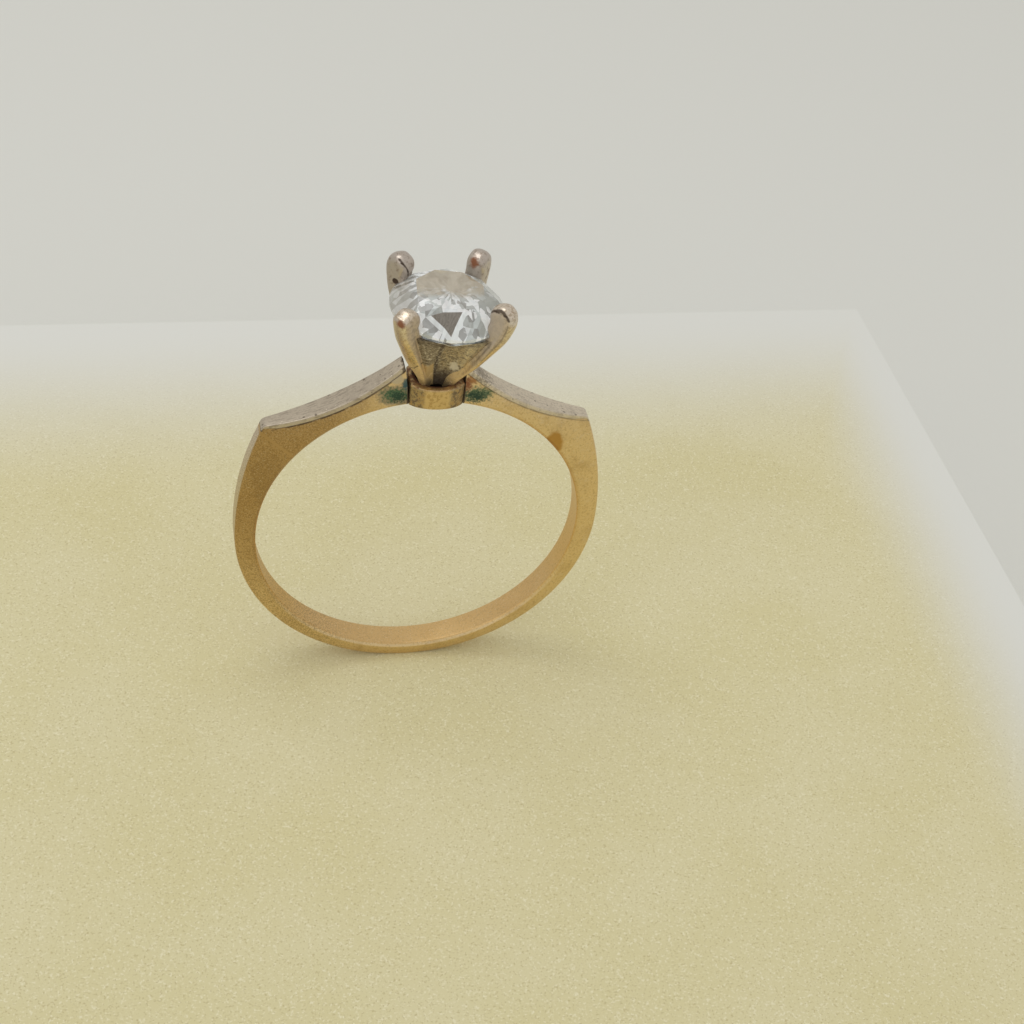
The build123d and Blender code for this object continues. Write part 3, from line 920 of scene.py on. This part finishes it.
def collet_gold_material():
    m = Metal("collet_gold", (0.72, 0.53, 0.265), 0.32)
    m.mottle(GOLD_DARK, 0.5, per_mm=1.5)
    x, z = m.position(0), m.position(2)
    # its middle is bright and its sides are gritty
    sides = m.step(m.math("ABSOLUTE", m.math("SUBTRACT", x, HEAD_X - 0.05)), 0.50, 0.85)
    grit = m.noise(5.0, detail=4, rough=0.7)
    m.tint(sides, TAUPE, 0.65)
    m.paint_dirt_and_light(m.both(sides, m.step(grit, 0.46, 0.56)), BROWN_DIRT_AND_SHADE, 0.62)
    m.speckle(GOLD_DARK, 0.7, per_mm=6.0, low=0.50, high=0.60)
    # painted shade: the mouth is painted near-black inside; its rim is red-brown
    bore_x, bore_y = [1000 / (half + 0.1) for half in COLLET_IN]
    inside = m.vector("SUBTRACT", m.coords, (HEAD_X * MM, 0, 0))
    inside = m.vector("LENGTH", m.vector("MULTIPLY", inside, (bore_x, bore_y, 0)))
    mouth = m.both(m.step(inside, 1.0, 1.12, 1.0, 0.0), m.step(z, 8.9, 9.0))
    m.paint_dirt_and_light(mouth, (0.035, 0.016, 0.010), 1.0)
    rim = m.both(m.step(z, COLLET_TOP - 0.10, COLLET_TOP - 0.02), m.step(grit, 0.40, 0.60))
    m.paint_dirt_and_light(rim, RUST, 0.55)
    return m.finish(grain=0.5)


def cup_gold_material():
    m = Metal("cup_gold", (0.56, 0.46, 0.31), 0.38)
    m.mottle(TAUPE, 0.8, per_mm=1.6)
    x, y = m.position(0), m.position(1)
    up = m.from_head(HEAD_AXIS)
    grit = m.noise(5.5, detail=6, rough=0.8)
    # painted light and shade: the front valley's right wall is painted palest, as lit, grit is heavier to
    # its left, and it is painted dark along its bottom and down at the collet
    m.tint(m.step(x, 0.4, 1.3), (0.68, 0.59, 0.44), 0.85)
    m.paint_dirt_and_light(m.both(m.step(grit, 0.46, 0.56), m.step(x, 0.4, 1.3, 1.0, 0.4)), BROWN_DIRT_AND_SHADE, 0.55)
    # painted shade: the valley's left wall is darkened
    left_wall = m.step(m.math("MULTIPLY_ADD", grit, 0.8, x), 0.05, 0.40, 1.0, 0.0)
    m.paint_dirt_and_light(left_wall, (0.30, 0.24, 0.15), 0.80)
    # painted shade: a dark line along the valley's bottom
    m.paint_dirt_and_light(m.band(x, -0.13, 0.05, 0.14), BROWN_DIRT_AND_SHADE, 0.75)
    fine = m.noise(7.5, detail=4, rough=0.7)
    m.paint_dirt_and_light(m.step(fine, 0.48, 0.38), BROWN_DIRT_AND_SHADE, 0.65)
    m.tint(m.step(fine, 0.52, 0.62), (0.86, 0.77, 0.58), 0.65)
    # painted shade: near-black low down in the cup, toward the collet
    low = m.step(m.math("MULTIPLY_ADD", grit, 1.2, up), 0.9, 2.1, 1.0, 0.0)
    m.paint_dirt_and_light(low, BLACK_SHADE, 0.88)
    # gold solder fills the valley's left wall down at the claw's foot
    fillet = m.step(m.math("MULTIPLY_ADD", up, 0.12, x), -0.02, -0.10)
    fillet = m.both(m.both(m.step(up, 1.75, 1.45), fillet), m.step(y, 0.0, -0.1))
    m.paint_dirt_and_light(fillet, (0.62, 0.44, 0.20), 0.85)
    # painted highlight: a pale glint on the cup
    glint = m.spot((0.75, -1.2, 11.0), (0.25, 0.4, 0.50), ragged=1.3, per_mm=6.0, fade=(0.5, 1.1))
    m.paint_dirt_and_light(glint, (0.74, 0.66, 0.50), 0.85)
    # painted shadow: a dark line under the stone's edge
    edge = m.math("MULTIPLY_ADD", m.math("ABSOLUTE", x), -0.16, up)
    m.paint_dirt_and_light(m.step(edge, 3.0, 3.3), BROWN_DIRT_AND_SHADE, 0.35)
    # painted light: the seat under the stone is painted near white and kept smooth and metallic, to show
    # bright through the stone
    pavilion = m.math("MULTIPLY_ADD", up, 1 / pavilion_slope, STONE_R - GIRDLE_LOW / pavilion_slope)
    seat = m.step(m.math("SUBTRACT", pavilion, m.head_reach()), -0.10, -0.06)
    m.tint(seat, (0.86, 0.88, 0.90), 1.0)
    m.clean(seat)
    return m.finish(grain=0.6, scratch=0.2)


# Painted shade along the creases and laps of the claws: claw, reach limits, width, strength, and (across,
# up) places on the line.
CREASES = [
    ("claw_back_left", (0, 2.8), 0.055, 0.85, [(0.38, 5.50), (0.40, 5.35), (0.25, 5.0), (0.12, 4.7)]),
    ("claw_front_right", (2.4, 9), 0.065, 0.85, [(-0.38, 5.65), (-0.42, 5.45), (-0.38, 5.25)]),
    ("claw_front_right", (0, 9), 0.03, 0.35, [(-0.42, 5.0), (-0.42, 4.2), (-0.47, 3.4), (-0.45, 2.3)]),
    ("claw_front_left", (1.5, 9), 0.04, 0.75, [(-0.30, 1.2), (0.05, 1.45), (0.40, 1.9)]),
]
# Rust in pits of the claws: place and radii.
RUST_PITS = [
    ((-2.35, -2.8, 14.7), (0.27, 0.27, 0.24)),
    ((1.85, 1.7, 15.0), (0.26, 0.30, 0.30)),
]
# A black pit where the back left claw meets the stone.
BLACK_PIT = ((-1.9, 1.6, 14.1), (0.15, 0.3, 0.16))


def claw_gold_material():
    m = Metal("claw_gold", (0.90, 0.69, 0.36), 0.27)
    x, y = m.position(0), m.position(1)
    up = m.from_head(HEAD_AXIS)
    # yellow below, and worn pinkish white at the tips
    soft_up = m.math("ADD", m.noise(0.9, detail=3), up)
    m.tint(m.step(soft_up, 3.6, 4.9), (0.76, 0.66, 0.55), 0.95)
    m.mottle((0.52, 0.40, 0.26), 0.35, per_mm=1.3)
    m.speckle((0.45, 0.33, 0.20), 0.35, per_mm=5.0, low=0.55, high=0.68)
    m.speckle((0.40, 0.29, 0.17), 0.60, per_mm=7.0, low=0.48, high=0.62)
    m.speckle((1.0, 0.90, 0.72), 0.45, per_mm=7.5, low=0.54, high=0.66)
    grit = m.noise(4.0, detail=5, rough=0.75)
    # painted shade: the sides that face into the cup's front valley are painted brown-grey, with grit on
    # them
    right_side = m.both(m.facing((-0.71, -0.71, 0), 0.55, 0.85), m.step(x, 0.4, 0.6))
    left_side = m.both(m.facing((0.68, -0.73, 0), 0.55, 0.85), m.step(x, 0.2, 0.0))
    sides = m.both(m.math("ADD", right_side, left_side, clamp=True), m.step(up, 1.5, 2.1))
    m.paint_dirt_and_light(sides, (0.58, 0.46, 0.31), 0.75)
    m.paint_dirt_and_light(m.both(sides, m.step(grit, 0.44, 0.60)), BROWN_DIRT_AND_SHADE, 0.30)
    # painted light: the front feet are painted bright gold, and at the very bottom, down in the collet,
    # grit and painted shade darken them
    m.paint_dirt_and_light(m.both(m.step(up, 2.2, 1.4), m.step(y, 0.0, -0.3)), (0.66, 0.47, 0.22), 0.65)
    m.paint_dirt_and_light(m.both(m.step(up, 0.7, 0.1), m.step(grit, 0.3, 0.5)), BROWN_DIRT_AND_SHADE, 0.5)
    # painted shade: the sides that face left are painted greyer
    greyed = m.both(m.facing((-0.98, -0.15, 0), 0.45, 0.9), m.step(up, 2.4, 3.4))
    m.tint(greyed, (0.56, 0.48, 0.40), 0.75)
    # the back claws are duller than the front ones, with painted shade darkening their left-facing sides
    # further
    back = m.step(y, 0.3, 0.9)
    m.tint(back, (0.56, 0.49, 0.43), 0.88)
    m.paint_dirt_and_light(m.both(back, greyed), (0.40, 0.355, 0.29), 0.6)
    m.paint_dirt_and_light(m.both(back, m.step(grit, 0.52, 0.62)), (0.20, 0.13, 0.08), 0.5)
    # rust, a pit, and painted shade in the nicks and laps of the hand-bent tips
    for where, radii in RUST_PITS:
        m.paint_dirt_and_light(m.spot(where, radii, ragged=0.6, per_mm=5.0, fade=(0.5, 1.15)), RUST, 0.95)
    m.paint_dirt_and_light(m.spot(*BLACK_PIT, ragged=0.3, per_mm=6.0), BROWN_DIRT_AND_SHADE, 1.0)
    for name, reach, width, strength, line in CREASES:
        for start, end in zip(line, line[1:]):
            m.paint_dirt_and_light(m.crease(CLAWS[name][0], start, end, width, reach), BROWN_DIRT_AND_SHADE, strength)
    return m.finish(grain=0.35, scratch=0.25)


# Layers of facet light: shards per facet step, shift, share left out, colour and strength.
STONE_SPLINTERS = [
    (0.9, 3.1, 0.45, (0.56, 0.60, 0.58), 0.85),
    (1.5, 8.7, 0.60, (0.38, 0.39, 0.36), 0.80),
    (2.2, 1.3, 0.72, (0.98, 1.0, 1.0), 0.95),
    (2.9, 5.9, 0.80, (0.26, 0.25, 0.23), 0.80),
    (3.3, 2.4, 0.86, (1.0, 1.0, 1.0), 1.0),
]
GIRDLE_FACET_ANGLE = 22.5
# The painted dark facet in front, a painted reflection: where its axis crosses the stone's, its lean, its
# point and its spread.
DARK_FACET_SIDE = -0.69
DARK_FACET_LEAN = 0.14
DARK_FACET_POINT = -2.70
DARK_FACET_TOP = -1.70
DARK_FACET_SPREAD = 0.75
DARK_FACET_BORDER = 0.25


def shard_values(m, turned, reach, spread, shift):
    """A random value for each shard of a layer that is laid out round the stone's axis."""
    where = m.tree.nodes.new("ShaderNodeCombineXYZ")
    m.link(m.math("MULTIPLY_ADD", turned, spread, shift), where.inputs[0])
    m.link(m.math("MULTIPLY", reach, spread), where.inputs[1])
    shards = m.tree.nodes.new("ShaderNodeTexVoronoi")
    shards.voronoi_dimensions = "2D"
    shards.inputs["Scale"].default_value = 1.0
    m.link(where.outputs[0], shards.inputs["Vector"])
    pick = m.tree.nodes.new("ShaderNodeSeparateColor")
    m.link(shards.outputs["Color"], pick.inputs[0])
    return pick.outputs[0]


def stone_material():
    """Faceted glass, filmed over on the table and lit in bands like the facets of a brilliant."""
    m = Metal("stone_glass", (0.93, 0.96, 0.97), 0.06)
    up, side, depth = [m.from_head(direction) for direction in (HEAD_AXIS, HEAD_SIDE, HEAD_DEPTH)]
    # mirrored facets below show through the crown as splinters of light and dark
    azimuth = m.math("DEGREES", m.math("ARCTAN2", depth, side))
    turned = m.math("DIVIDE", m.math("SUBTRACT", azimuth, STONE_TURN), GIRDLE_FACET_ANGLE)
    slanted = m.math("MULTIPLY_ADD", side, 0.3, m.head_reach())
    for spread, shift, left_out, color, strength in STONE_SPLINTERS:
        value = shard_values(m, turned, slanted, spread, shift)
        m.tint(m.step(value, left_out, left_out + 0.02), color, strength)
    # painted reflections: the left of the crown mirrors the brownish claws, and the back of its right
    # mirrors grey
    m.tint(m.step(side, -1.5, -2.2), (0.36, 0.32, 0.25), 0.62)
    m.tint(m.both(m.step(side, 1.1, 1.8), m.step(depth, -1.6, -1.0)), (0.34, 0.34, 0.28), 0.60)
    # painted reflection: one dark facet at the front, wide at the table and pointed at the girdle, with a
    # painted bright border
    off_axis = m.math("MULTIPLY_ADD", depth, DARK_FACET_LEAN, side)
    off_axis = m.math("ABSOLUTE", m.math("SUBTRACT", off_axis, DARK_FACET_SIDE))
    half = m.math("MULTIPLY", m.math("SUBTRACT", depth, DARK_FACET_POINT), DARK_FACET_SPREAD)
    inside = m.math("SUBTRACT", half, off_axis)
    below_table = m.step(depth, DARK_FACET_TOP, DARK_FACET_TOP - 0.04)
    border = m.step(inside, -DARK_FACET_BORDER - 0.01, -DARK_FACET_BORDER + 0.01)
    m.tint(m.both(border, below_table), (0.97, 1.0, 0.99), 0.8)
    m.tint(m.both(m.step(inside, -0.01, 0.01), below_table), (0.13, 0.095, 0.06), 0.94)
    # grey-brown film over the table, thinner toward the front
    film = m.step(up, TABLE_UP - 0.03, TABLE_UP - 0.01)
    thickness = m.math("MULTIPLY_ADD", m.noise(1.2, detail=4, distort=0.6), 2.4, depth)
    m.tint(film, (0.50, 0.42, 0.30), m.step(thickness, 0.4, 1.4, 0.1, 0.95))
    # the stone also glows faintly in its own colour: painted light
    shine = m.tree.nodes.new("ShaderNodeBsdfPrincipled")
    m.link(m.color, shine.inputs["Base Color"])
    m.link(m.color, shine.inputs["Emission Color"])
    shine.inputs["Roughness"].default_value = m.rough
    shine.inputs["IOR"].default_value = 1.9
    shine.inputs["Transmission Weight"].default_value = 0.45
    shine.inputs["Emission Strength"].default_value = 0.12
    m.tree.links.new(shine.outputs[0], m.out.inputs[0])
    return m.material


# ---------------------------------------------------------------- build the pieces
def place(piece, slot, nodes, material):
    piece.data.materials.clear()
    piece.data.materials.append(material)
    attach(piece, "root")
    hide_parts(*nodes)
    return piece


hoop_gold = hoop_gold_material()
plate_gold = plate_gold_material()
solder = solder_material()
collet_gold = collet_gold_material()
cup_gold = cup_gold_material()
claw_gold = claw_gold_material()

place(make_shank(), "yellow_gold", ["shank"], hoop_gold)
for side, word in ((-1, "left"), (1, "right")):
    place(make_shoulder(side, word + "_arm", "arm"), "yellow_gold", [word + "_shoulder"], hoop_gold)
    place(make_shoulder(side, word + "_plate", "plate"), "white_gold", [word + "_shoulder_plate"],
          plate_gold)
    place(make_seam(side, word + "_seam"), "gold_solder", [word + "_solder_seam"], solder)
place(make_collet(), "collet_gold", ["under_collet"], collet_gold)
place(make_cup(), "cup_gold", ["head_cup"], cup_gold)
cutter = stone_cutter()
for name, (azimuth, reach, tip_up) in CLAWS.items():
    place(make_claw(name + "_prong", azimuth, reach, tip_up, cutter), "claw_gold", [name], claw_gold)
bpy.data.objects.remove(cutter)

stone = frame["nodes"]["round_brilliant"]
stone_glass = stone_material()
stone.data.materials.clear()
stone.data.materials.append(stone_glass)

# ---------------------------------------------------------------- stage, light and camera
FLOOR_Z = cad_box[0][2] / MM
SLAB_LEFT = -60
SLAB_RIGHT = 38
SLAB_FRONT = -75
SLAB_BACK = 31
# The slab's colour fades into the ground's over these distances from its edges.
FADE_BACK = (17, 0.5)
FADE_RIGHT = (9, 0.5)
GROUND_HALF = 900
GROUND_DROP = 25
GROUND = (0.825, 0.825, 0.775)
CREAM = (0.75, 0.68, 0.385)
CREAM_PALE = (0.78, 0.715, 0.44)
GRAIN_PALE = (0.88, 0.82, 0.57)
GRAIN_DARK = (0.64, 0.56, 0.30)


def sheet(name, left, right, front, back, z, nodes, color):
    """A flat matte part of the stage."""
    corners = [(left, front, z), (right, front, z), (right, back, z), (left, back, z)]
    piece = new_mesh(name, corners, [(0, 1, 2, 3)])
    matte = nodes.tree.nodes.new("ShaderNodeBsdfPrincipled")
    nodes.link(color, matte.inputs["Base Color"])
    matte.inputs["Roughness"].default_value = 0.9
    nodes.tree.links.new(matte.outputs[0], nodes.out.inputs[0])
    piece.data.materials.append(nodes.material)


n = Nodes("floor_cream")
to_back = n.step(n.position(1), SLAB_BACK - FADE_BACK[0], SLAB_BACK - FADE_BACK[1])
to_right = n.step(n.position(0), SLAB_RIGHT - FADE_RIGHT[0], SLAB_RIGHT - FADE_RIGHT[1])
cream = n.mix(n.step(n.noise(0.12, detail=5), 0.3, 0.7), CREAM, CREAM_PALE)
cream = n.mix(n.step(n.noise(8.0, detail=2), 0.54, 0.70), cream, GRAIN_PALE)
cream = n.mix(n.step(n.noise(9.0, detail=2, offset=(5, 3, 1)), 0.44, 0.30), cream, GRAIN_DARK)
cream = n.mix(n.math("MAXIMUM", to_back, to_right), cream, GROUND)
sheet("floor", SLAB_LEFT, SLAB_RIGHT, SLAB_FRONT, SLAB_BACK, FLOOR_Z, n, cream)
sheet("ground", -GROUND_HALF, GROUND_HALF, -GROUND_HALF, GROUND_HALF, FLOOR_Z - GROUND_DROP,
      Nodes("ground_grey"), GROUND + (1,))

world = bpy.data.worlds.new("studio")
scene.world = world
world.use_nodes = True
back = world.node_tree.nodes["Background"]
back.inputs["Color"].default_value = (0.965, 0.957, 0.93, 1)
back.inputs["Strength"].default_value = 0.65


LIGHT_AIM = Vector((0, 0, 5))


def area_light(name, at_mm, side_mm, watts):
    data = bpy.data.lights.new(name, "AREA")
    data.size = side_mm * MM
    data.energy = watts
    lamp = bpy.data.objects.new(name, data)
    scene.collection.objects.link(lamp)
    lamp.location = Vector(at_mm) * MM
    lamp.rotation_euler = (Vector(at_mm) - LIGHT_AIM).to_track_quat("Z", "Y").to_euler()


area_light("top_soft", (-60, 40, 260), 160, 0.12)
area_light("front_soft", (-180, -160, 160), 140, 0.05)

CAMERA_AZ = math.radians(-12.766)
CAMERA_EL = math.radians(41.627)
CAMERA_DIST = 94.587
CAMERA_TURNS = (2.987, -0.606, -6.034)   # pan, tilt and roll in degrees
CAMERA_LENS = 63.334
CAMERA_SENSOR = 36

camera_data = bpy.data.cameras.new("camera")
camera = bpy.data.objects.new("camera", camera_data)
scene.collection.objects.link(camera)
scene.camera = camera
back_dir = Vector((math.sin(CAMERA_AZ) * math.cos(CAMERA_EL),
                   -math.cos(CAMERA_AZ) * math.cos(CAMERA_EL), math.sin(CAMERA_EL)))
right_dir = Vector((math.cos(CAMERA_AZ), math.sin(CAMERA_AZ), 0))
looking = Matrix((right_dir, back_dir.cross(right_dir), back_dir))
pan, tilt_turn, roll = [math.radians(a) for a in CAMERA_TURNS]
looking = (Matrix.Rotation(roll, 3, "Z") @ Matrix.Rotation(tilt_turn, 3, "X")
           @ Matrix.Rotation(pan, 3, "Y") @ looking)
camera.matrix_world = Matrix.Translation(back_dir * CAMERA_DIST * MM) @ looking.transposed().to_4x4()
camera_data.sensor_width = CAMERA_SENSOR
camera_data.lens = CAMERA_LENS
camera_data.clip_start = 0.001
camera_data.clip_end = 10

scene.view_settings.view_transform = "Standard"
